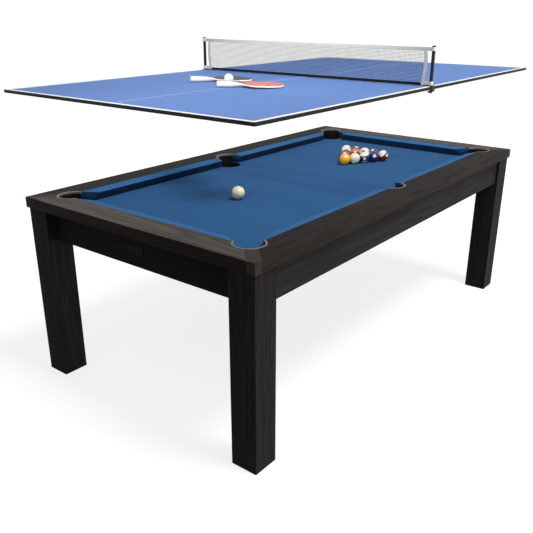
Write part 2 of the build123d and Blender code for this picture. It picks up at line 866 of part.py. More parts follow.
def write_table():
    """Legs, frame, bed, rails, cushions and pockets."""
    for end, side in CORNERS:
        save(f"leg_{end}_{side}", turned(leg(), end, side))
        save(f"leveller_foot_{end}_{side}", turned(foot(), end, side))
        save(f"leveller_stem_{end}_{side}", turned(stem(), end, side))
    save("leveller_inserts", *[turned(insert(), *corner) for corner in CORNERS])
    brackets = [turned(bracket(swap), *corner) for corner in CORNERS for swap in (False, True)]
    save("leg_brackets", *brackets)
    places = bracket_screw_places(False) + bracket_screw_places(True)
    screws = [screw(point, along, screw_length) for point, along in places]
    save("bracket_screws", *[turned(piece, *corner) for corner in CORNERS for piece in screws])

    for side in ("right", "left"):
        save(f"apron_{side}", turned(drilled(side_apron(), False), "head", side))
        save(f"rail_{side}", turned(bored(side_rail()), "head", side))
        for end in ("head", "foot"):
            save(f"cushion_{side}_{end}", turned(side_cushion(0), end, side))
    for end in ("head", "foot"):
        save(f"apron_{end}", turned(drilled(end_apron(), True), end, "right"))
        save(f"rail_{end}", turned(bored(end_rail()), end, "right"))
        save(f"cushion_{end}", turned(end_cushion(0), end, "right"))

    side_cover = covers(side_cushion)
    end_cover = covers(end_cushion)
    skins = [turned(side_cover, *corner) for corner in CORNERS]
    save("cushion_cloths", *skins, end_cover, turned(end_cover, "foot", "right"))
    save("corner_pieces", *[turned(corner_piece(), *corner) for corner in CORNERS])
    save("rail_bolts", *rail_bolts())
    save("ledger_strips", *ledgers())
    save("cross_beams", *cross_beams())
    save("bed_board", bed_sheet((bed_underside, bed_top)))
    save("bed_cloth", bed_sheet((bed_top, cloth_top)))
    save("pocket_rims", *pocket_rims())
    save("pocket_liners", *pocket_liners())
    save("name_plate", name_plate())


def write_top():
    """Conversion top with its net."""
    for end in ("head", "foot"):
        save(f"top_board_{end}", turned(top_board(), end, "right"))
    save("top_edge_bands", edge_band(), turned(edge_band(), "foot", "right"))
    save("top_rest_pads", *rest_pads())
    save("top_joining_plates", *joining_plates())
    join_screws = [screw(point, along, join_screw_length) for point, along in join_screw_places()]
    save("top_plate_screws", *join_screws)
    save("net_posts", *[turned(net_post(), "head", side) for side in ("right", "left")])
    for side in ("right", "left"):
        save(f"net_clamp_pad_{side}", turned(clamp_pad(), "head", side))
        save(f"net_clamp_screw_{side}", turned(clamp_screw(), "head", side))
    save("net_mesh", net_mesh())
    save("net_tapes", net_tapes())
    save("net_foot_band", net_foot_band())


def write_loose():
    """Bats and balls."""
    bats = {"red": (red_bat_end, red_bat_heading), "black": (black_bat_end, black_bat_heading)}
    for name, spot in bats.items():
        place = bat_placement(*spot)
        save(f"bat_{name}_blade", place * bat_blade())
        save(f"bat_{name}_rubbers", *[place * sheet for sheet in bat_rubbers()])
    height = playing_face + rest_gap + tennis_ball_radius
    save("tennis_ball", Pos(*tennis_ball_place, height) * Sphere(tennis_ball_radius))
    save("cue_ball", Pos(cue_ball_x, 0, cloth_top + rest_gap + ball_radius) * Sphere(ball_radius))
    save("object_balls", *object_balls())


os.makedirs("parts", exist_ok=True)
write_table()
write_top()
write_loose()
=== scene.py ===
from math import asin, atan2, cos, pi, radians, sin, sqrt, tan

import bmesh
import bpy
from mathutils import Matrix, Vector
from mathutils.geometry import delaunay_2d_cdt

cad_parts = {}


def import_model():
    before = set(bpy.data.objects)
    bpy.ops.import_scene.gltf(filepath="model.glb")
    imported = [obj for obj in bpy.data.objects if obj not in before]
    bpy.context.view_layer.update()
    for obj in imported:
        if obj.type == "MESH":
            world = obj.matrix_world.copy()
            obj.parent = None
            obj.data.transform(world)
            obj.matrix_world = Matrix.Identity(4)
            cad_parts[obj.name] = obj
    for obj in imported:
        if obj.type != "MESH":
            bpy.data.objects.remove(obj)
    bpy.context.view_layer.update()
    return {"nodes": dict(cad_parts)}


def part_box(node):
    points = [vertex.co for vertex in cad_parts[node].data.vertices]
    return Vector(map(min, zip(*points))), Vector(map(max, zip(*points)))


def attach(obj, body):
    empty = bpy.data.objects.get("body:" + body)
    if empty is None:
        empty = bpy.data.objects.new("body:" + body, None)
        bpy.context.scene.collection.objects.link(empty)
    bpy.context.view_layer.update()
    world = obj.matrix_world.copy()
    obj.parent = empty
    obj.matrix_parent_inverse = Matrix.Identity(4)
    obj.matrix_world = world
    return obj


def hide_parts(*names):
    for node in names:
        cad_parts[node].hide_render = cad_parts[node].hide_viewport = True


# Looks of the games table: a pool table with its conversion top raised over it, in metres.
# The origin is on the floor under the table's middle, with +X to the foot end and +Z up.

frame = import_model()

# Places read from the frame
table_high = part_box("corner_pieces")[1]
half_length = table_high.x
half_width = table_high.y
rail_top = table_high.z
cloth_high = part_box("bed_cloth")[1]
cloth_top = cloth_high.z
board_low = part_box("top_board_head")[0]
band_low, band_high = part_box("top_edge_bands")
playing_face = band_high.z
top_underside = band_low.z
net_low, net_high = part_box("net_mesh")
tape_low, tape_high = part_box("net_tapes")

# Table sizes that the looks follow
rail_width = 0.112
cushion_depth = 0.045
nose_height = 0.037
nose_face = 0.005
cushion_foot = 0.029
foot_rise = 0.003
corner_jaw = radians(38)
side_jaw = radians(76)
jaw_overlap = 0.0005
leg_notch = 0.121          # table's edge to the cut round a leg in the bed
corner_inset = 0.133
corner_radius = 0.062
side_inset = 0.138
side_radius = 0.066
rim_width = 0.008
rim_gap = 0.0003
rim_height = 0.0112
rim_proud = 0.0012         # rim's height over the rail
rim_overhang = 0.004       # how far the rim's ends run past the wooden rail
cup_gap = 0.00485          # pocket's cut to the cloth's turned edge
cloth_sink = 0.0002        # cloth's surface below its solid's
cloth_turn = 0.012         # how far the cloth turns down into a pocket
ball_radius = 0.05715 / 2
ball_gap = 0.0002
disc_radius = 0.0082       # white disc that carries a ball's number
band_reach = 0.0142        # from a striped ball's middle to the edge of its colour
cue_ball_x = -0.474
rack_apex_x = 0.380
rest_gap = 0.0003
tennis_ball_radius = 0.020
tennis_ball_place = (-0.430, 0.080)
post_radius = 0.0073       # net post with the sleeve's clearance
post_cover = 0.0085        # post's middle to the sleeve's outer face
band_start = 0.00015       # half the joint between the top's two edge bands
tape_width = 0.015
tape_thick = 0.0016
tape_wrap = 0.0012         # thickness of the sleeve
cord_radius = 0.0015       # net's cord, under the tape
cord_sink = 0.0018         # from the tape's top to the cord's middle
net_pitch = 0.0054         # from strand to strand
net_strand = 0.00052       # half a strand's thickness
line_width = 0.018         # white border of the playing face
middle_line = 0.0015       # half the width of the line along the middle
bat_length = 0.268
bat_head_length = 0.1702
bat_head_width = 0.156
bat_grip_length = 0.0978
bat_grip_thick = 0.022
bat_throat = 0.028
bat_wood_thick = 0.006
bat_rubber_thick = 0.002
bat_neck_share = 0.03      # part of the head's length that the rubber leaves bare
red_bat_end = (-0.566, 0.023)
red_bat_heading = -44.0
black_bat_end = (-0.492, 0.240)
black_bat_heading = -33.0
bat_squareness = 2.15      # power of the blade's outline, 2 for an ellipse
bat_edge = 0.0007          # how far the blade's edges are eased

# Camera
camera_place = (-2.543, -1.796, 1.526)
camera_yaw = radians(38.43)
camera_pitch = radians(21.54)
camera_lens = 44.49

# Light
ambient = 0.18
floor_reach = 30.0
floor_fade = (1.3, 4.5)    # from the middle, where the floor begins and stops to lighten
floor_glow = (0.81, 0.97)  # near the object and far from it

link = bpy.context.scene.collection.objects.link


# Materials
class Recipe:
    """One material's nodes, added one at a time round its shader."""

    def __init__(self, name, settings):
        self.material = bpy.data.materials.new(name)
        self.material.use_nodes = True
        self.tree = self.material.node_tree
        self.shader = self.tree.nodes["Principled BSDF"]
        for socket, value in settings.items():
            self.shader.inputs[socket].default_value = value
        self.place = self.add("TexCoord").outputs["Object"]

    def add(self, kind, inputs=None, **settings):
        """A node with its inputs, each a number, a colour or another node's output."""
        made = self.tree.nodes.new("ShaderNode" + kind)
        for key, value in settings.items():
            setattr(made, key, value)
        for key, value in (inputs or {}).items():
            self.join(made.inputs[key], value)
        return made

    def join(self, socket, value):
        if isinstance(value, bpy.types.NodeSocket):
            self.tree.links.new(value, socket)
        else:
            socket.default_value = value

    def feed(self, socket, value):
        self.join(self.shader.inputs[socket], value)

    def stretched(self, scale):
        return self.add("Mapping", {"Vector": self.place, "Scale": scale}).outputs[0]

    def noise(self, scale, detail=3.0, vector=None, distortion=0.0, roughness=0.5):
        inputs = {
            "Vector": vector or self.place,
            "Scale": scale,
            "Detail": detail,
            "Roughness": roughness,
            "Distortion": distortion,
        }
        return self.add("TexNoise", inputs).outputs[0]

    def maths(self, operation, first, second=0.0, third=0.0):
        made = self.add("Math", operation=operation)
        for socket, value in zip(made.inputs, (first, second, third)):
            self.join(socket, value)
        return made.outputs[0]

    def spread(self, value, low, high, start=0.0, stop=1.0):
        """The value, from start to stop, turned into one from low to high."""
        inputs = {"Value": value, "From Min": start, "From Max": stop, "To Min": low, "To Max": high}
        return self.add("MapRange", inputs).outputs[0]

    def mix(self, share, first, second, blend="MIX"):
        made = self.add("Mix", data_type="RGBA", blend_type=blend)
        for index, value in ((0, share), (6, first), (7, second)):
            self.join(made.inputs[index], value)
        return made.outputs[2]

    def shades(self, value, stops):
        """Colours at shares of the value."""
        made = self.add("ValToRGB", {"Fac": value})
        elements = made.color_ramp.elements
        while len(elements) < len(stops):
            elements.new(1.0)
        for element, (share, colour) in zip(elements, stops):
            element.position = share
            element.color = (*colour, 1.0)
        return made.outputs[0]

    def axes(self, output="Object"):
        source = self.add("TexCoord").outputs[output]
        return self.add("SeparateXYZ", {"Vector": source}).outputs

    def sides_shaded(self, colour, share, start, stop):
        """Painted light or shade: the colour, times a share where the surface looks up less than the start.
        """
        upward = self.spread(self.axes("Normal")[2], 0.0, 1.0, start, stop)
        return self.mix(upward, self.mix(1.0, colour, (share, share, share, 1.0), "MULTIPLY"), colour)

    def bump(self, height, distance, strength=1.0):
        inputs = {"Height": height, "Distance": distance, "Strength": strength}
        self.feed("Normal", self.add("Bump", inputs).outputs[0])


def wood(name, grain_axis, dark, light, roughness, specular, painted_side_share=1.0):
    """Stained wood whose grain runs along one axis: broad figure, fibres and open pores.

    Faces that don't look up can be painted lighter or darker by a share, as painted light or shade.
    """
    made = Recipe(name, {"Specular IOR Level": specular})
    broad, fine, open_grain = [26.0] * 3, [420.0] * 3, [900.0] * 3
    broad[grain_axis] = 1.6
    fine[grain_axis] = 7.0
    open_grain[grain_axis] = 22.0
    figure = made.noise(0.55, 3.0, made.stretched(broad), 0.8, 0.6)
    rings = made.maths("PINGPONG", made.maths("MULTIPLY", figure, 13.0), 1.0)
    fibres = made.noise(1.0, 3.0, made.stretched(fine), 0.2)
    pores = made.noise(1.0, 1.0, made.stretched(open_grain))
    pores = made.spread(pores, 1.0, 0.0, 0.30, 0.42)
    tone = made.maths("ADD", made.maths("MULTIPLY", rings, 0.45), made.maths("MULTIPLY", fibres, 0.62))
    between = [(low + high) / 2 for low, high in zip(dark, light)]
    colour = made.shades(tone, [(0.22, dark), (0.55, between), (0.85, light)])
    colour = made.mix(made.maths("MULTIPLY", pores, 0.6), colour, (*dark, 1.0))
    # Faces that don't look up get painted light or shade: the colour times a share.
    if painted_side_share != 1.0:
        colour = made.sides_shaded(colour, painted_side_share, 0.4, 0.9)
    made.feed("Base Color", colour)
    made.feed("Roughness", made.spread(fibres, roughness - 0.1, roughness + 0.1, 0.3, 0.7))
    height = made.maths("SUBTRACT", made.maths("MULTIPLY", tone, 0.5), made.maths("MULTIPLY", pores, 0.5))
    made.bump(height, 0.0005, 0.6)
    return made.material


def mottled(name, colour, roughness, scale, change=0.15, grit=0.0002, **settings):
    """Paint, plastic or metal with a slightly uneven colour, gloss and surface."""
    made = Recipe(name, {key.replace("_", " "): value for key, value in settings.items()})
    cloud = made.noise(scale, 4.0)
    low = [channel * (1 - change) for channel in colour]
    high = [min(1.0, channel * (1 + change)) for channel in colour]
    made.feed("Base Color", made.shades(cloud, [(0.3, low), (0.7, high)]))
    wear = made.noise(scale * 6, 2.0)
    made.feed("Roughness", made.spread(wear, roughness - 0.07, roughness + 0.07, 0.3, 0.7))
    made.bump(made.noise(scale * 12, 2.0), grit)
    return made.material


def felt(name, colour, low_share, painted_under_shade=1.0):
    """Worsted cloth: a fine weave under a short nap. Its undersides can be painted darker as shade."""
    made = Recipe(name, {
        "Roughness": 0.95,
        "Specular IOR Level": 0.03,
        "Sheen Weight": 0.03,
        "Sheen Roughness": 0.5,
    })
    worn = made.noise(3.0, 4.0, roughness=0.55)
    nap = made.noise(900.0, 2.0)
    low = [channel * low_share for channel in colour]
    tone = made.maths("ADD", made.maths("MULTIPLY", worn, 0.6), made.maths("MULTIPLY", nap, 0.4))
    shade = made.shades(tone, [(0.35, low), (0.62, colour)])
    # Undersides painted darker as shade, by a share of the colour.
    if painted_under_shade != 1.0:
        shade = made.sides_shaded(shade, painted_under_shade, -0.1, 0.5)
    made.feed("Base Color", shade)
    x, y, _ = made.axes()
    thread = 2 * pi / 0.0007
    warp = made.maths("SINE", made.maths("MULTIPLY", x, thread))
    weft = made.maths("SINE", made.maths("MULTIPLY", y, thread))
    weave = made.maths("MULTIPLY", warp, weft)
    made.bump(made.maths("ADD", made.maths("MULTIPLY", weave, 0.3), nap), 0.00025, 0.5)
    return made.material


def court(name):
    """Blue playing face with its white lines, on a board that is black below."""
    made = Recipe(name, {"Specular IOR Level": 0.08})
    x, y, _ = made.axes()
    across = made.maths("ABSOLUTE", y)
    edge_x = made.maths("GREATER_THAN", made.maths("ABSOLUTE", x), -board_low.x - line_width)
    edge_y = made.maths("GREATER_THAN", across, -board_low.y - line_width)
    middle = made.maths("LESS_THAN", across, middle_line)
    lines = made.maths("MAXIMUM", made.maths("MAXIMUM", edge_x, edge_y), middle)
    orange_peel = made.noise(260.0, 2.0)
    cloud = made.noise(1.6, 4.0)
    blue = made.shades(cloud, [(0.3, (0.108, 0.210, 0.500)), (0.7, (0.130, 0.238, 0.540))])
    face = made.mix(lines, blue, (0.88, 0.89, 0.90, 1.0))
    upward = made.maths("GREATER_THAN", made.axes("Normal")[2], 0.5)
    made.feed("Base Color", made.mix(upward, (0.012, 0.012, 0.013, 1.0), face))
    made.feed("Roughness", made.spread(orange_peel, 0.55, 0.65, 0.3, 0.7))
    made.bump(orange_peel, 0.00005, 0.5)
    return made.material


def ringed(name, colour, pitch, roughness):
    """Metal with a fine thread or turning marks across Z."""
    made = Recipe(name, {"Metallic": 1.0})
    z = made.axes()[2]
    thread = made.maths("SINE", made.maths("MULTIPLY", z, 2 * pi / pitch))
    cloud = made.noise(90.0, 3.0)
    made.feed("Base Color", made.shades(cloud, [(0.3, [c * 0.8 for c in colour]), (0.7, colour)]))
    made.feed("Roughness", made.spread(cloud, roughness - 0.08, roughness + 0.08, 0.3, 0.7))
    made.bump(thread, 0.0003)
    return made.material


def boarded(name, light, dark, scale):
    """Pressed board or ply seen on its plain side."""
    made = Recipe(name, {"Roughness": 0.85, "Specular IOR Level": 0.2})
    chips = made.noise(scale, 5.0, roughness=0.7)
    made.feed("Base Color", made.shades(chips, [(0.35, dark), (0.65, light)]))
    made.bump(chips, 0.0003, 0.6)
    return made.material


def pimpled(name, colour, light):
    """Bat rubber: a smooth tacky sheet over small pimples, with streaks of painted highlight."""
    made = Recipe(name, {"Specular IOR Level": 0.2})
    cells = made.add("TexVoronoi", {"Vector": made.place, "Scale": 620.0}).outputs["Distance"]
    # Lighter streaks of the second colour are painted highlights.
    highlight_streaks = made.noise(1.0, 4.0, made.stretched((22.0, 60.0, 22.0)), 1.2)
    made.feed("Base Color", made.shades(highlight_streaks, [(0.42, colour), (0.66, light)]))
    made.feed("Roughness", made.spread(highlight_streaks, 0.34, 0.6, 0.35, 0.65))
    made.bump(cells, 0.0002, 0.4)
    return made.material


def ball_paint(name, colour, striped):
    """Pool ball: colour all over or as a band, with a white disc at each end of its own X axis."""
    made = Recipe(name, {
        "Roughness": 0.12,
        "Specular IOR Level": 0.3,
        "Coat Weight": 0.12,
        "Coat Roughness": 0.05,
    })
    _, y, z = made.axes()
    squares = made.maths("ADD", made.maths("POWER", y, 2.0), made.maths("POWER", z, 2.0))
    white = made.maths("LESS_THAN", made.maths("SQRT", squares), disc_radius)
    if striped:
        pole = made.maths("GREATER_THAN", made.maths("ABSOLUTE", z), band_reach)
        white = made.maths("MAXIMUM", white, pole)
    cloud = made.noise(60.0, 2.0)
    ivory = made.shades(cloud, [(0.3, (0.78, 0.72, 0.58)), (0.7, (0.84, 0.79, 0.66))])
    made.feed("Base Color", made.mix(white, (*colour, 1.0), ivory))
    return made.material


def threads(name, colour, pitch):
    """Woven tape or twisted cord."""
    made = Recipe(name, {"Roughness": 0.9, "Specular IOR Level": 0.2, "Sheen Weight": 0.1})
    _, y, z = made.axes()
    slope = made.maths("ADD", y, z)
    counter = made.maths("SUBTRACT", y, z)
    wave = made.maths("SINE", made.maths("MULTIPLY", slope, 2 * pi / pitch))
    cross = made.maths("SINE", made.maths("MULTIPLY", counter, 2 * pi / pitch))
    weave = made.maths("MULTIPLY", wave, cross)
    cloud = made.noise(40.0, 3.0)
    made.feed("Base Color", made.shades(cloud, [(0.3, [c * 0.88 for c in colour]), (0.7, colour)]))
    made.bump(weave, 0.0003, 0.6)
    return made.material


# The woods are copies of one stain, lighter or darker for how light falls on each piece: end aprons painted
# darker as shade, end rails' tops painted lighter as sheen with their side faces painted darker as shade,
# and side rails' side faces painted 1.5 times lighter than their tops.
leg_wood = wood("leg_wood", 2, (0.0140, 0.0131, 0.0124), (0.0300, 0.0280, 0.0268), 0.6, 0.015)
side_apron_wood = wood("side_apron_wood", 0, (0.0172, 0.0161, 0.0160), (0.0350, 0.0328, 0.0325), 0.6, 0.015)
end_apron_wood_painted_shade = wood("end_apron_wood_painted_shade", 1, (0.0080, 0.0064, 0.0052), (0.0170, 0.0138, 0.0115), 0.6, 0.015)
side_rail_wood_painted_side_light = wood(
    "side_rail_wood_painted_side_light", 0, (0.0094, 0.0080, 0.0068), (0.0230, 0.0196, 0.0164), 0.55, 0.02, 1.5)
end_rail_wood_painted_sheen = wood(
    "end_rail_wood_painted_sheen", 1, (0.0280, 0.0238, 0.0200), (0.1080, 0.0925, 0.0780), 0.55, 0.03, 0.18)
bare_wood = [
    wood(f"bare_wood_{letter}", axis, (0.36, 0.24, 0.13), (0.55, 0.40, 0.25), 0.8, 0.2)
    for axis, letter in enumerate("xy")
]
corner_paint = mottled("corner_wood", (0.038, 0.031, 0.026), 0.55, 30.0, 0.14, Specular_IOR_Level=0.03)
bed_felt = felt("bed_cloth", (0.0305, 0.110, 0.262), 0.88)
# The cushion cloth is the bed cloth made about 1.3 times lighter as painted light on the cushion tops, with
# its undersides painted darker as shade by a share of 0.25.
cushion_felt_painted_light_and_shade = felt("cushion_cloth", (0.039, 0.142, 0.330), 0.88, 0.25)
rim_paint = mottled("grey_rim", (0.150, 0.140, 0.122), 0.42, 60.0, Specular_IOR_Level=0.25)
black_plastic = mottled("black_plastic", (0.010, 0.010, 0.011), 0.45, 40.0, Specular_IOR_Level=0.35)
cup_plastic = mottled("cup_plastic", (0.004, 0.004, 0.005), 0.6, 40.0, Specular_IOR_Level=0.15)
zinc = ringed("zinc_steel", (0.55, 0.55, 0.53), 0.0015, 0.35)
flat_zinc = mottled("zinc_sheet", (0.50, 0.50, 0.48), 0.38, 50.0, Metallic=1.0)
plate_paint = mottled("plate_metal", (0.007, 0.006, 0.005), 0.55, 80.0, Specular_IOR_Level=0.03)
playing = court("playing_blue")
band_rubber = mottled("band_rubber", (0.004, 0.004, 0.005), 0.5, 70.0, Specular_IOR_Level=0.12)
pad_rubber = mottled("pad_rubber", (0.014, 0.014, 0.014), 0.75, 60.0, Specular_IOR_Level=0.2)
black_steel = mottled("black_steel", (0.005, 0.005, 0.006), 0.42, 90.0, Specular_IOR_Level=0.2)
net_thread = threads("net_thread", (0.016, 0.016, 0.020), 0.0015)
white_tape = threads("white_tape", (0.96, 0.96, 0.95), 0.0016)
black_tape = threads("black_tape", (0.005, 0.005, 0.006), 0.0016)
bat_wood = wood("bat_wood", 0, (0.82, 0.79, 0.71), (0.93, 0.91, 0.86), 0.5, 0.2)
red_rubber = pimpled("red_rubber", (0.60, 0.120, 0.095), (0.70, 0.250, 0.205))
black_rubber = pimpled("black_rubber", (0.011, 0.011, 0.012), (0.030, 0.030, 0.033))
white_shell = mottled("white_shell", (0.90, 0.90, 0.89), 0.5, 50.0, 0.03, 0.00003, Specular_IOR_Level=0.3)
ivory_ball = mottled("ivory_ball", (0.90, 0.78, 0.49), 0.14, 30.0, 0.04, 0.00001, Coat_Weight=0.4)
numeral_ink = mottled("numeral_ink", (0.010, 0.010, 0.012), 0.25, 200.0)
board = boarded("pressed_board", (0.42, 0.30, 0.19), (0.28, 0.19, 0.11), 180.0)
cushion_rubber = mottled("cushion_rubber", (0.030, 0.026, 0.022), 0.8, 60.0)


# Dress of the construction's own pieces
def dress(node, *materials):
    """Gives a carried-over piece its material."""
    data = frame["nodes"][node].data
    data.materials.clear()
    for material in materials:
        data.materials.append(material)


def soften_edges(node, width):
    """A small bevel that lets the edges of a carried-over piece catch light."""
    modifier = frame["nodes"][node].modifiers.new("edges", "BEVEL")
    modifier.width = width
    modifier.segments = 2
    modifier.limit_method = "ANGLE"
    modifier.angle_limit = radians(50)
    modifier.use_clamp_overlap = True


ENDS = ("head", "foot")
SIDES = ("right", "left")
for end in ENDS:
    dress(f"apron_{end}", end_apron_wood_painted_shade)
    dress(f"rail_{end}", end_rail_wood_painted_sheen)
    dress(f"cushion_{end}", cushion_rubber)
    dress(f"top_board_{end}", playing)
    for side in SIDES:
        dress(f"leg_{end}_{side}", leg_wood)
        dress(f"leveller_foot_{end}_{side}", black_plastic)
        dress(f"leveller_stem_{end}_{side}", zinc)
        dress(f"cushion_{side}_{end}", cushion_rubber)
for side in SIDES:
    dress(f"apron_{side}", side_apron_wood)
    dress(f"rail_{side}", side_rail_wood_painted_side_light)
    dress(f"net_clamp_pad_{side}", pad_rubber)
    dress(f"net_clamp_screw_{side}", black_plastic)
for name, material in {
    "corner_pieces": corner_paint,
    "bed_board": board,
    "ledger_strips": bare_wood[0],
    "cross_beams": bare_wood[1],
    "leveller_inserts": zinc,
    "leg_brackets": flat_zinc,
    "bracket_screws": flat_zinc,
    "rail_bolts": flat_zinc,
    "pocket_liners": cup_plastic,
    "name_plate": plate_paint,
    "top_rest_pads": pad_rubber,
    "top_joining_plates": flat_zinc,
    "top_plate_screws": flat_zinc,
    "net_posts": black_steel,
}.items():
    dress(name, material)


# Mesh building
def piece(name, points, faces, body, slot, material, sharp=35.0, merged=False, turned_out=True):
    """A mesh that rides on a body, smooth but for edges sharper than an angle in degrees."""
    mesh = bpy.data.meshes.new(name)
    mesh.from_pydata([tuple(point) for point in points], [], faces)
    work = bmesh.new()
    work.from_mesh(mesh)
    if merged:
        bmesh.ops.remove_doubles(work, verts=work.verts, dist=1e-5)
        loose = [vert for vert in work.verts if not vert.link_faces]
        bmesh.ops.delete(work, geom=loose, context="VERTS")
    if turned_out:
        bmesh.ops.recalc_face_normals(work, faces=work.faces)
    work.to_mesh(mesh)
    work.free()
    mesh.shade_smooth()
    mesh.set_sharp_from_angle(angle=radians(sharp))
    mesh.materials.append(material)
    made = bpy.data.objects.new(name, mesh)
    link(made)
    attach(made, body)
    return made


def loft(rings, joined=False):
    """Points and faces of a skin over closed rings, capped at both ends or joined into a loop."""
    count = len(rings[0])
    points = [point for ring in rings for point in ring]
    faces = []
    for index in range(len(rings) if joined else len(rings) - 1):
        low = index * count
        high = ((index + 1) % len(rings)) * count
        for place in range(count):
            after = (place + 1) % count
            faces.append((low + place, low + after, high + after, high + place))
    if not joined:
        faces.append(tuple(reversed(range(count))))
        faces.append(tuple(range(len(points) - count, len(points))))
    return points, faces


def gathered(parts):
    """Several skins as one."""
    points, faces = [], []
    for more_points, more_faces in parts:
        start = len(points)
        points += more_points
        faces += [tuple(start + index for index in face) for face in more_faces]
    return points, faces


def circle(count):
    """Cosine and sine of evenly spaced angles once round."""
    return [(cos(2 * pi * step / count), sin(2 * pi * step / count)) for step in range(count)]


def evenly(first, last, count):
    """Values from first to last in a number of equal steps."""
    return [first + (last - first) * index / count for index in range(count + 1)]


def rounded(width, height, radius, steps):
    """Outline of a rectangle with rounded corners about the origin."""
    outline = []
    for corner, (x, y) in enumerate(((1, 1), (-1, 1), (-1, -1), (1, -1))):
        centre = (x * (width / 2 - radius), y * (height / 2 - radius))
        for step in range(steps + 1):
            angle = (corner + step / steps) * pi / 2
            outline.append((centre[0] + radius * cos(angle), centre[1] + radius * sin(angle)))
    return outline


# Bed cloth
def pockets():
    """Middle, cut radius and outward direction of each pocket."""
    found = []
    for sx in (-1, 1):
        for sy in (-1, 1):
            middle = (sx * (half_length - corner_inset), sy * (half_width - corner_inset))
            found.append((middle, corner_radius, atan2(sy, sx)))
    for sy in (-1, 1):
        found.append(((0.0, sy * (half_width - side_inset)), side_radius, sy * pi / 2))
    return found


def bed_cloth():
    """Cloth stretched over the bed, cut round the legs and turned down into the pockets."""
    notch_x, notch_y = half_length - leg_notch, half_width - leg_notch
    quarter = [(cloth_high.x, notch_y), (notch_x, notch_y), (notch_x, cloth_high.y)]
    upper = quarter + [(-x, y) for x, y in reversed(quarter)]
    outline = upper + [(-x, -y) for x, y in upper]
    loops = [outline]
    for (x, y), cut, _ in pockets():
        radius = cut - cup_gap
        loops.append([(x + radius * across, y + radius * along) for across, along in circle(56)])
    places, edges = [], []
    for loop in loops:
        start, count = len(places), len(loop)
        places += [Vector(place) for place in loop]
        edges += [(start + index, start + (index + 1) % count) for index in range(count)]
    for i in range(-8, 9):
        for j in range(-4, 5):
            places.append(Vector((i * cloth_high.x / 9, j * cloth_high.y / 5)))
    flat, _, faces, *_ = delaunay_2d_cdt(places, edges, [], 0, 1e-6)

    def cut_away(x, y):
        if abs(x) > notch_x and abs(y) > notch_y:
            return True
        return any((x - mx) ** 2 + (y - my) ** 2 < (cut - cup_gap) ** 2 for (mx, my), cut, _ in pockets())

    level = cloth_top - cloth_sink
    points = [(x, y, level) for x, y in flat]
    kept = []
    for face in faces:
        x, y = sum((flat[index] for index in face), Vector((0.0, 0.0))) / len(face)
        if not cut_away(x, y):
            kept.append(tuple(face))
    for loop in loops[1:]:
        for index, near in enumerate(loop):
            far = loop[(index + 1) % len(loop)]
            if max(abs(near[0]), abs(far[0])) > notch_x and max(abs(near[1]), abs(far[1])) > notch_y:
                continue
            start = len(points)
            drops = (0.0, cloth_turn / 3, cloth_turn)
            points += [(*place, level - drop) for drop in drops for place in (near, far)]
            kept += [(start + row, start + row + 1, start + row + 3, start + row + 2) for row in (0, 2)]
    made = piece("bed_cloth_sheet", points, kept, "table", "blue_cloth", bed_felt, merged=True)
    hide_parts("bed_cloth")


bed_cloth()


# Cushions, each a rubber with its cloth
def cushion_profile():
    """Section of a covered cushion as depth from the wooden rail and height over the bed cloth."""
    top = rail_top - cloth_top
    face = nose_height - nose_face
    slope = (top - nose_height) / cushion_depth
    groove = [
        (0.0002, top - 0.0035), (0.0006, top - 0.0022), (0.0014, top - 0.0009), (0.0026, top - 0.0003),
    ]
    crown = []
    for share in (0.10, 0.22, 0.36, 0.50, 0.64, 0.78, 0.88):
        depth = cushion_depth * share
        crown.append((depth, top - slope * depth + 0.0004 * sin(pi * share)))
    nose = [
        (cushion_depth - 0.0026, nose_height + 0.0001), (cushion_depth - 0.0011, nose_height - 0.0005),
        (cushion_depth - 0.0003, nose_height - 0.0015), (cushion_depth, nose_height - 0.0030),
        (cushion_depth - 0.0002, face + 0.0004), (cushion_depth - 0.0011, face - 0.0013),
    ]
    under = []
    rise, depth = foot_rise, cushion_foot + foot_rise
    for share in (0.15, 0.45, 0.8):
        under.append((
            cushion_depth - 0.0011 + (depth - cushion_depth) * share,
            face - 0.0013 + (rise - face) * share,
        ))
    foot = [
        (depth - 0.0004, rise), (cushion_foot + 0.0012, 0.0010),
        (cushion_foot - 0.0010, 0.0003), (0.0002, 0.0003),
    ]
    return groove + crown + nose + under + foot


def cushion(name, place, start, stop, start_run, stop_run):
    """One cushion. place turns run, depth and height into a point; its ends slant by their runs."""
    profile = cushion_profile()
    middle = (cushion_depth * 0.4, nose_height * 0.55)
    edge = 0.0016
    length = stop - start
    stations = [(0.0, 0.93), (edge * 0.35, 0.98), (edge, 1.0)]
    count = max(6, round(length / 0.06))
    stations += [(edge + (length - 2 * edge) * index / count, 1.0) for index in range(1, count)]
    stations += [(length - edge, 1.0), (length - edge * 0.35, 0.98), (length, 0.93)]
    rings = []
    for run, swell in stations:
        share = run / length
        ring = []
        for depth, up in profile:
            depth = middle[0] + (depth - middle[0]) * swell
            up = middle[1] + (up - middle[1]) * swell
            slant = depth / cushion_depth
            low = start + start_run * slant
            high = stop - stop_run * slant
            ring.append(place(low + (high - low) * share, depth, cloth_top + up))
        rings.append(ring)
    made = piece(f"{name}_cover", *loft(rings), "table", "blue_cloth", cushion_felt_painted_light_and_shade, 40.0)
    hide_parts(name, "cushion_cloths")


def half_chord(inset, radius):
    """Half the pocket's width where it meets the wooden rail's inner edge."""
    return sqrt(radius ** 2 - (inset - rail_width) ** 2)


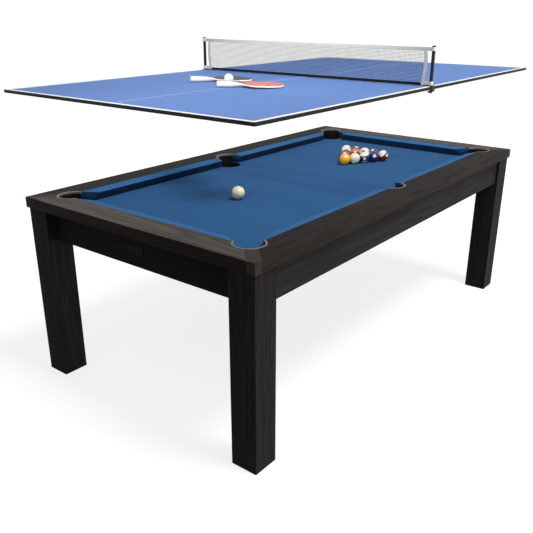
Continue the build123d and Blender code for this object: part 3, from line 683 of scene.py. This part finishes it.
def cushions():
    """The six cushions."""
    corner_run = cushion_depth / tan(corner_jaw)
    side_run = cushion_depth / tan(side_jaw)
    corner = corner_inset + half_chord(corner_inset, corner_radius) + jaw_overlap
    middle = half_chord(side_inset, side_radius) + jaw_overlap
    inner_x, inner_y = half_length - rail_width, half_width - rail_width
    for end, sx in zip(ENDS, (-1, 1)):
        for side, sy in zip(SIDES, (-1, 1)):

            def along_side(run, depth, height, sx=sx, sy=sy):
                return (-sx * run, sy * (inner_y - depth), height)

            side_span = (corner - half_length, -middle)
            cushion(f"cushion_{side}_{end}", along_side, *side_span, corner_run, side_run)

        def along_end(run, depth, height, sx=sx):
            return (sx * (inner_x - depth), run, height)

        end_span = (corner - half_width, half_width - corner)
        cushion(f"cushion_{end}", along_end, *end_span, corner_run, corner_run)


cushions()


# Pocket rims
def pocket_rims():
    """Grey bands on the rails round the pockets, rounded on top and at their ends."""
    low = rail_top + rim_proud - rim_height
    rims = []
    for (x, y), cut, outward in pockets():
        inset = corner_inset if x else side_inset
        hidden = asin((inset - rail_width - rim_overhang) / cut)
        span = (1.5 if x else 1.0) * pi - 2 * hidden
        outer, inner = cut - rim_gap, cut - rim_width
        middle = (outer + inner) / 2
        section = rounded(outer - inner, rim_height, 0.0022, 5)
        cap = 0.0030
        steps = 60
        turns = [(0.0, 0.55), (0.25 * cap / cut, 0.8), (0.6 * cap / cut, 0.94), (cap / cut, 1.0)]
        full = [(cap / cut + (span - 2 * cap / cut) * step / steps, 1.0) for step in range(1, steps)]
        turns += full + [(span - turn, swell) for turn, swell in reversed(turns)]
        rings = []
        for turn, swell in turns:
            angle = outward - span / 2 + turn
            ring = []
            for across, up in section:
                lip = 0.0009 * max(0.0, -across) / (rim_width / 2) * (up > 0)
                radius = middle + across * swell
                ring.append((
                    x + radius * cos(angle),
                    y + radius * sin(angle),
                    low + rim_height / 2 + (up - lip) * (swell if up > 0 else 1.0),
                ))
            rings.append(ring)
        rims.append(loft(rings))
    made = piece("pocket_rim_bands", *gathered(rims), "table", "grey_rim", rim_paint)
    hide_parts("pocket_rims")


pocket_rims()


# Edge bands of the conversion top
def edge_bands():
    """Black bands round the top, with eased corners and a shallow groove along the middle."""
    height = playing_face - top_underside
    thick = -band_low.x + board_low.x
    groove = [(0.0, 0.0), (thick * 0.70, 0.0), (thick * 0.92, 0.0004), (thick, 0.0011)]
    groove += [(thick, height * 0.30), (thick - 0.0004, height * 0.36)]
    section = groove + [(across, height - up) for across, up in reversed(groove)]
    reach, side = -board_low.x, board_low.y
    stations = [((x, side), (0.0, -1.0)) for x in [band_start] + evenly(0.0, reach, 24)[1:-1]]
    stations += [((reach, side), (cos(turn), sin(turn))) for turn in evenly(-pi / 2, 0.0, 6)]
    stations += [((reach, y), (1.0, 0.0)) for y in evenly(side, -side, 13)[1:7]]
    stations += [((x, -y), (nx, -ny)) for (x, y), (nx, ny) in reversed(stations)]
    bands = []
    for sx in (-1, 1):
        rings = []
        for (x, y), (nx, ny) in stations:
            ring = [(sx * (x + nx * across), y + ny * across, top_underside + up) for across, up in section]
            rings.append(ring)
        bands.append(loft(rings))
    made = piece("top_edge_strip", *gathered(bands), "conversion_top", "black_plastic", band_rubber, 50.0)
    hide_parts("top_edge_bands")
    return made


edge_strip = edge_bands()


# Net with its tapes and foot band
net_reach = net_high.y
net_foot = net_low.z
post_line = tape_high.y - post_cover


def ripple(y, z):
    """How far the hanging net stands out of its plane."""
    low_share = (net_high.z - z) / (net_high.z - net_foot)
    wave = 0.0012 * sin(23.0 * y + 0.6) + 0.0007 * sin(57.0 * y + 1.3)
    return wave * (0.25 + 0.75 * low_share)


def swing(y, z):
    """How far the net's ends give way: out at half height and in at the foot, less towards the middle."""
    share = min(1.0, max(0.0, (z - tape_low.z) / (net_high.z - tape_low.z)))
    give = 0.0045 * sin(pi * share) - 0.005 * (1 - share) ** 2
    return give * (y / net_reach) ** 7


def net_strands():
    """Strands both ways, those across lying just before those that hang."""
    columns = round(2 * net_reach / net_pitch)
    rows = round((net_high.z - net_foot) / net_pitch)
    ys = evenly(-net_reach, net_reach, columns)
    zs = evenly(net_foot, net_high.z, rows)
    corners = ((net_strand, 0.0), (0.0, net_strand), (-net_strand, 0.0), (0.0, -net_strand))
    skins = []
    for y in ys:
        rings = [[(ripple(y, z) + a, y + swing(y, z) + b, z) for a, b in corners] for z in zs]
        skins.append(loft(rings))
    for z in zs:
        rings = [[(ripple(y, z) + net_strand + a, y + swing(y, z), z + b) for a, b in corners] for y in ys]
        skins.append(loft(rings))
    made = piece("net_strands", *gathered(skins), "conversion_top", "net_cloth", net_thread)
    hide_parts("net_mesh")


def sleeve(y, low, high, radius, thick):
    """Band of tape round a post."""
    rings = []
    for cosine, sine in circle(32):
        ring = []
        for across, up in rounded(thick, high - low, thick * 0.45, 3):
            reach = radius + thick / 2 + across
            ring.append((reach * cosine, y + reach * sine, (low + high) / 2 + up))
        rings.append(ring)
    return loft(rings, joined=True)


def flat_tape(stations, width_axis, width, thick):
    """Tape through stations, its width along Y or Z, following the net's ripple."""
    outline = rounded(thick, width, thick * 0.45, 3)
    rings = []
    for y, z in stations:
        ring = []
        for across, along in outline:
            py, pz = (y + along, z) if width_axis == "y" else (y, z + along)
            ring.append((ripple(py, pz) + across, py, pz))
        rings.append(ring)
    return loft(rings)


def net_tapes():
    """White tapes along the top and both ends, with their sleeves round the posts."""
    tape_top = tape_high.z
    middle = tape_top - tape_width / 2
    ys = evenly(-post_line, post_line, 60)
    head = [flat_tape([(y, middle) for y in ys], "z", tape_width, tape_thick)]
    cord = []
    for y in ys:
        x, z = ripple(y, middle), tape_top - cord_sink
        cord.append([(x + cord_radius * cosine, y, z + cord_radius * sine) for cosine, sine in circle(10)])
    head.append(loft(cord))
    for sign in (-1, 1):
        head.append(sleeve(sign * post_line, tape_top - tape_width, tape_top, post_radius, tape_wrap))
    made = piece("net_top_tape", *gathered(head), "conversion_top", "white_tape", white_tape)
    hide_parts("net_tapes")
    foot = tape_low.z
    for side, sign in zip(SIDES, (-1, 1)):
        y = sign * (net_reach + tape_width / 2)
        run = [(y + swing(sign * net_reach, z), z) for z in evenly(foot, net_high.z + 0.001, 24)]
        band = [flat_tape(run, "y", tape_width, tape_thick)]
        low = foot + tape_width / 2
        start = y + swing(sign * net_reach, low)
        strap = [(y, low) for y in evenly(start, sign * post_line, 6)]
        band.append(flat_tape(strap, "z", tape_width * 0.92, tape_thick * 0.8))
        band.append(sleeve(sign * post_line, foot, foot + tape_width, post_radius, tape_wrap))
        made = piece(f"net_end_tape_{side}", *gathered(band), "conversion_top", "white_tape", white_tape)
        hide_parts("net_tapes")


def net_foot_band():
    """Black band along the net's foot."""
    low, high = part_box("net_foot_band")
    middle = (low.z + high.z) / 2
    reach = high.y + swing(net_reach, net_foot)
    skin = flat_tape([(y, middle) for y in evenly(-reach, reach, 80)], "z", high.z - low.z, tape_thick)
    made = piece("net_foot_strip", *skin, "conversion_top", "black_tape", black_tape)
    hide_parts("net_foot_band")


net_strands()
net_tapes()
net_foot_band()


# Bats
def head_half_width(run):
    """Half the blade's width at a distance from the handle's end."""
    centre = bat_length - bat_head_length / 2
    join = centre - bat_head_length * 0.29
    if run >= join:
        share = min(1.0, abs(run - centre) / (bat_head_length / 2))
        return bat_head_width / 2 * (1 - share ** bat_squareness) ** (1 / bat_squareness)
    share = max(0.0, (run - bat_grip_length) / (join - bat_grip_length))
    start, stop = bat_throat / 2, head_half_width(join)
    leave, reach = 0.010, 0.022
    bend = share ** 3 - 2 * share ** 2 + share
    swing = share ** 3 - share ** 2
    smooth = 3 * share ** 2 - 2 * share ** 3
    return start + (stop - start) * smooth + leave * bend + reach * swing


def blade_outline(first, inset=0.0):
    """Closed outline of the blade from a distance along it to its tip, set in from the edge."""
    steps = 60
    upper = []
    for index in range(steps + 1):
        run = first + (bat_length - first) * sin(pi / 2 * index / steps)
        upper.append((run, head_half_width(run)))
    upper[-1] = (bat_length, 0.0)
    loop = upper + [(run, -half) for run, half in reversed(upper[:-1])]
    if not inset:
        return loop
    shrunk = []
    count = len(loop)
    for index, (x, y) in enumerate(loop):
        before, after = loop[index - 1], loop[(index + 1) % count]
        along = Vector((after[0] - before[0], after[1] - before[1])).normalized()
        shrunk.append((x + along.y * inset, y - along.x * inset))
    return shrunk


def slab(outlines):
    """Skin through outlines at heights, capped."""
    return loft([[(x, y, height) for x, y in outline] for outline, height in outlines])


def grip():
    """Flared handle with rounded sides and an eased end."""
    sections = [
        (0.0, 0.80, 0.0134, 0.0104), (0.0010, 0.93, 0.0138, 0.0108), (0.0030, 1.0, 0.0140, 0.0110),
        (0.0120, 1.0, 0.0138, 0.0109), (0.0270, 1.0, 0.0132, 0.0105), (0.0420, 1.0, 0.0128, 0.0102),
        (0.0560, 1.0, 0.0128, 0.0098), (0.0670, 1.0, 0.0131, 0.0091), (0.0760, 1.0, 0.0135, 0.0081),
        (0.0840, 1.0, 0.0138, 0.0068), (0.0910, 1.0, 0.0140, 0.0054), (0.0970, 1.0, 0.0142, 0.0042),
        (0.1020, 1.0, 0.0140, 0.0030),
    ]
    rings = []
    for run, swell, half, thick in sections:
        ring = []
        for cosine, sine in circle(40):
            wide = abs(cosine) ** 0.75 * (1 if cosine > 0 else -1)
            tall = abs(sine) ** 0.75 * (1 if sine > 0 else -1)
            ring.append((run, half * swell * wide, thick * swell * tall))
        rings.append(ring)
    return loft(rings)


def bat(colour, end, heading, upper, lower):
    """One bat laid on the top: it rests on its handle's end and on the rim of its blade."""
    rise = (bat_grip_thick - bat_wood_thick) / 2 - bat_rubber_thick
    tilt = atan2(rise, bat_length - bat_grip_length)
    turn = Matrix.Rotation(radians(heading), 4, "Z") @ Matrix.Rotation(tilt, 4, "Y")
    half = bat_wood_thick / 2
    tail = bat_grip_length - 0.004
    outline, inner = blade_outline(tail), blade_outline(tail, bat_edge)
    wood_skin = slab([(inner, -half), (outline, -half + 0.0008), (outline, half - 0.0008), (inner, half)])
    parts = {"blade": (gathered([wood_skin, grip()]), bat_wood, "bat_wood")}
    first = bat_length - bat_head_length * (1 - bat_neck_share)
    wide = blade_outline(first, 0.0010)
    narrow = blade_outline(first, 0.0013)
    for face, sign, (slot, material) in (("upper", 1, upper), ("lower", -1, lower)):
        heights = (half + 0.00005, half + bat_rubber_thick - 0.0003, half + bat_rubber_thick)
        levels = [(outline, sign * height) for outline, height in zip((wide, wide, narrow), heights)]
        parts[f"{face}_rubber"] = (slab(levels), material, slot)
    skins = {}
    for name, ((points, faces), *_) in parts.items():
        skins[name] = [turn @ Vector(point) for point in points], faces
    lowest = min(point.z for points, _ in skins.values() for point in points)
    shift = Vector((end[0], end[1], playing_face + rest_gap - lowest))
    for name, (points, faces) in skins.items():
        _, material, slot = parts[name]
        points = [point + shift for point in points]
        made = piece(f"bat_{colour}_{name}", points, faces, f"{colour}_bat", slot, material)
        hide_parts(f"bat_{colour}_blade" if name == "blade" else f"bat_{colour}_rubbers")


red_face = ("red_rubber", red_rubber)
black_face = ("black_rubber", black_rubber)
bat("red", red_bat_end, red_bat_heading, red_face, black_face)
bat("black", black_bat_end, black_bat_heading, black_face, red_face)


# Balls
def ball(name, node, body, centre, radius, material, turn=None):
    """Turned ball whose seam-free skin has its poles along its own Z axis."""
    mesh = bpy.data.meshes.new(name)
    work = bmesh.new()
    bmesh.ops.create_icosphere(work, subdivisions=5, radius=radius)
    work.to_mesh(mesh)
    work.free()
    mesh.shade_smooth()
    mesh.materials.append(material)
    made = bpy.data.objects.new(name, mesh)
    made.matrix_world = Matrix.Translation(centre) @ (turn or Matrix.Identity(4))
    link(made)
    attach(made, body)
    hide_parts(node)
    return made


def facing(disc, pole):
    """Turn that brings a ball's number disc and its pole to these directions, the disc exactly."""
    x = Vector(disc).normalized()
    z = (Vector(pole) - Vector(pole).dot(x) * x).normalized()
    turn = Matrix((x, z.cross(x), z)).transposed()
    return turn.to_4x4()


def numeral(text, turn, centre):
    """Points and faces of a plain number on both discs of a ball."""
    curve = bpy.data.curves.new("numeral", "FONT")
    curve.body = text
    curve.align_x = "CENTER"
    curve.align_y = "CENTER"
    curve.size = 0.0098 if len(text) == 1 else 0.0084
    curve.resolution_u = 4
    holder = bpy.data.objects.new("numeral", curve)
    link(holder)
    bpy.context.view_layer.update()
    mesh = bpy.data.meshes.new_from_object(holder)
    bpy.data.objects.remove(holder)
    work = bmesh.new()
    work.from_mesh(mesh)
    bmesh.ops.remove_doubles(work, verts=work.verts, dist=1e-6)
    bmesh.ops.triangulate(work, faces=work.faces)
    long_edges = [edge for edge in work.edges if edge.calc_length() > 0.0012]
    bmesh.ops.subdivide_edges(work, edges=long_edges, cuts=3, use_grid_fill=True)
    bmesh.ops.triangulate(work, faces=work.faces)
    work.verts.index_update()
    reach = ball_radius + 0.00007
    points, faces = [], []
    for sign in (1, -1):
        start = len(points)
        for vert in work.verts:
            local = Vector((sign * ball_radius, sign * vert.co.x, vert.co.y)).normalized() * reach
            points.append(turn @ local + centre)
        faces += [tuple(start + vert.index for vert in face.verts) for face in work.faces]
    work.free()
    bpy.data.meshes.remove(mesh)
    return points, faces


BALL_COLOURS = {
    "yellow": (0.90, 0.46, 0.010),
    "blue": (0.014, 0.030, 0.150),
    "red": (0.520, 0.030, 0.030),
    "purple": (0.085, 0.022, 0.110),
    "orange": (0.720, 0.165, 0.030),
    "green": (0.012, 0.110, 0.050),
    "maroon": (0.150, 0.014, 0.020),
    "black": (0.010, 0.010, 0.011),
}
# Row by row from the apex, each row from the right side: number, disc's direction, pole's direction
RACK = [
    [(1, (0.50, 0.50, -0.70), (0, 0, 1))],
    [(9, (0.30, -0.50, -0.80), (-0.80, -0.50, 0.30)), (3, (-0.60, -0.20, 0.80), (0, 0, 1))],
    [(10, (-0.80, -0.55, -0.10), (-0.10, 0.10, 1)), (8, (-0.30, -0.20, 0.90), (0, 0, 1)),
     (6, (-0.20, 0.30, 0.90), (0, 0, 1))],
    [(2, (-0.75, -0.60, 0.30), (0, 0, 1)), (12, (-0.50, 0.40, 0.60), (0, 0, 1)),
     (5, (0.30, -0.60, 0.70), (0, 0, 1)), (14, (-0.20, 0.90, 0.20), (-0.50, -0.20, 0.80))],
    [(15, (-0.20, -0.90, 0.20), (-0.60, 0.10, 0.80)), (4, (-0.40, 0.10, 0.90), (0, 0, 1)),
     (11, (0.20, 0.90, 0.10), (-0.20, 0.10, 1)), (7, (-0.10, -0.30, 0.95), (0, 0, 1)),
     (13, (0.50, 0.70, 0.10), (-0.40, 0.20, 0.90))],
]


def rack():
    """Fifteen numbered balls in their triangle."""
    paints = {}
    colours = list(BALL_COLOURS.items())
    pitch = 2 * ball_radius + ball_gap
    height = cloth_top + rest_gap + ball_radius
    marks = []
    for row, entries in enumerate(RACK):
        for place, (number, disc, pole) in enumerate(entries):
            word, colour = colours[(number - 1) % 8]
            striped = number > 8
            key = (word, striped)
            if key not in paints:
                paints[key] = ball_paint(f"{word}_{'striped' if striped else 'solid'}", colour, striped)
            x = rack_apex_x + row * pitch * sqrt(3) / 2
            centre = Vector((x, (place - row / 2) * pitch, height))
            turn = facing(disc, pole)
            ball(f"object_ball_{number}", "object_balls", "racked_balls", centre, ball_radius,
                 paints[key], turn)
            marks.append(numeral(str(number), turn.to_3x3(), centre))
    points, faces = gathered(marks)
    made = piece("ball_numerals", points, faces, "racked_balls", "pool_ball", numeral_ink, turned_out=False)
    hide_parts("object_balls")


rack()
ball("cue_ball_skin", "cue_ball", "cue_ball",
     Vector((cue_ball_x, 0.0, cloth_top + rest_gap + ball_radius)), ball_radius, ivory_ball)
ball("tennis_ball_shell", "tennis_ball", "table_tennis_ball",
     Vector((*tennis_ball_place, playing_face + rest_gap + tennis_ball_radius)),
     tennis_ball_radius, white_shell)


# Edges of the carried-over pieces
for end in ENDS:
    soften_edges(f"apron_{end}", 0.0008)
    for side in SIDES:
        soften_edges(f"leg_{end}_{side}", 0.0005)
        soften_edges(f"leveller_foot_{end}_{side}", 0.0004)
for side in SIDES:
    soften_edges(f"apron_{side}", 0.0008)
soften_edges("net_posts", 0.0005)
soften_edges("name_plate", 0.0003)
soften_edges("top_rest_pads", 0.0008)

# The floating top holds no light back from the table, which is lit as if nothing hung over it
floating = ("top_board_head", "top_board_foot", "top_rest_pads", "top_joining_plates", "top_plate_screws")
for made in [frame["nodes"][name] for name in floating] + [edge_strip]:
    made.visible_shadow = False
    made.visible_diffuse = False
    made.visible_glossy = False


# Floor, light and camera
def seen_directly(tree):
    """1 for rays that see a surface straight, mirrored or through glass, else 0."""
    path = tree.nodes.new("ShaderNodeLightPath")
    total = None
    for name in ("Is Camera Ray", "Is Glossy Ray", "Is Transmission Ray"):
        if total is None:
            total = path.outputs[name]
            continue
        larger = tree.nodes.new("ShaderNodeMath")
        larger.operation = "MAXIMUM"
        tree.links.new(total, larger.inputs[0])
        tree.links.new(path.outputs[name], larger.inputs[1])
        total = larger.outputs[0]
    return total


def floor():
    """Pale floor that looks white and keeps the object's shadow."""
    points = [(x * floor_reach, y * floor_reach, 0) for x, y in ((-1, -1), (1, -1), (1, 1), (-1, 1))]
    mesh = bpy.data.meshes.new("floor")
    mesh.from_pydata(points, [], [(0, 1, 2, 3)])
    made = bpy.data.objects.new("floor", mesh)
    link(made)
    paint = Recipe("floor", {
        "Base Color": (0.35, 0.35, 0.35, 1.0),
        "Roughness": 0.9,
        "Specular IOR Level": 0.0,
        "Emission Color": (1.0, 1.0, 1.0, 1.0),
    })
    fade = {"Value": paint.add("VectorMath", {"Vector": paint.place}, operation="LENGTH").outputs["Value"]}
    fade.update(zip(("From Min", "From Max", "To Min", "To Max"), (*floor_fade, *floor_glow)))
    glow = paint.add("MapRange", fade, interpolation_type="SMOOTHSTEP").outputs["Result"]
    paint.feed("Emission Strength", paint.maths("MULTIPLY", seen_directly(paint.tree), glow))
    mesh.materials.append(paint.material)


def world():
    """White backdrop with a softer light on the object."""
    made = bpy.data.worlds.new("studio")
    bpy.context.scene.world = made
    made.use_nodes = True
    tree = made.node_tree
    back = tree.nodes["Background"]
    spread = tree.nodes.new("ShaderNodeMapRange")
    spread.inputs["To Min"].default_value = ambient
    spread.inputs["To Max"].default_value = 1.0
    tree.links.new(seen_directly(tree), spread.inputs["Value"])
    tree.links.new(spread.outputs[0], back.inputs["Strength"])
    back.inputs["Color"].default_value = (1.0, 1.0, 1.0, 1.0)


def lamp(name, place, target, size, power, cone=None):
    """Soft square lamp that points at a target, or a soft-edged spot if a cone is given."""
    data = bpy.data.lights.new(name, "SPOT" if cone else "AREA")
    if cone:
        data.shadow_soft_size = size
        data.spot_size = cone
        data.spot_blend = 1.0
    else:
        data.shape = "SQUARE"
        data.size = size
    data.energy = power
    made = bpy.data.objects.new(name, data)
    made.visible_camera = False
    made.location = place
    made.rotation_euler = (Vector(target) - Vector(place)).to_track_quat("-Z", "Y").to_euler()
    link(made)


floor()
world()
lamp("right", (0.2, -3.2, 7.0), (0.0, 0.0, 0.8), 2.5, 415.0)
lamp("head", (-4.2, -0.4, 5.2), (0.0, 0.0, 0.8), 2.5, 20.0)
lamp("front", (0.6, -5.0, 0.6), (0.0, 0.0, 0.5), 1.0, 100.0)
lamp("net", (-3.2, -0.4, 1.9), (0.0, 0.0, 1.42), 0.25, 290.0, radians(28))

camera_data = bpy.data.cameras.new("camera")
camera_data.lens = camera_lens
camera_data.sensor_width = 36.0
camera = bpy.data.objects.new("camera", camera_data)
camera.location = camera_place
level = cos(camera_pitch)
forward = Vector((cos(camera_yaw) * level, sin(camera_yaw) * level, -sin(camera_pitch)))
camera.rotation_euler = forward.to_track_quat("-Z", "Y").to_euler()
link(camera)
bpy.context.scene.camera = camera
bpy.context.scene.view_settings.view_transform = "Standard"
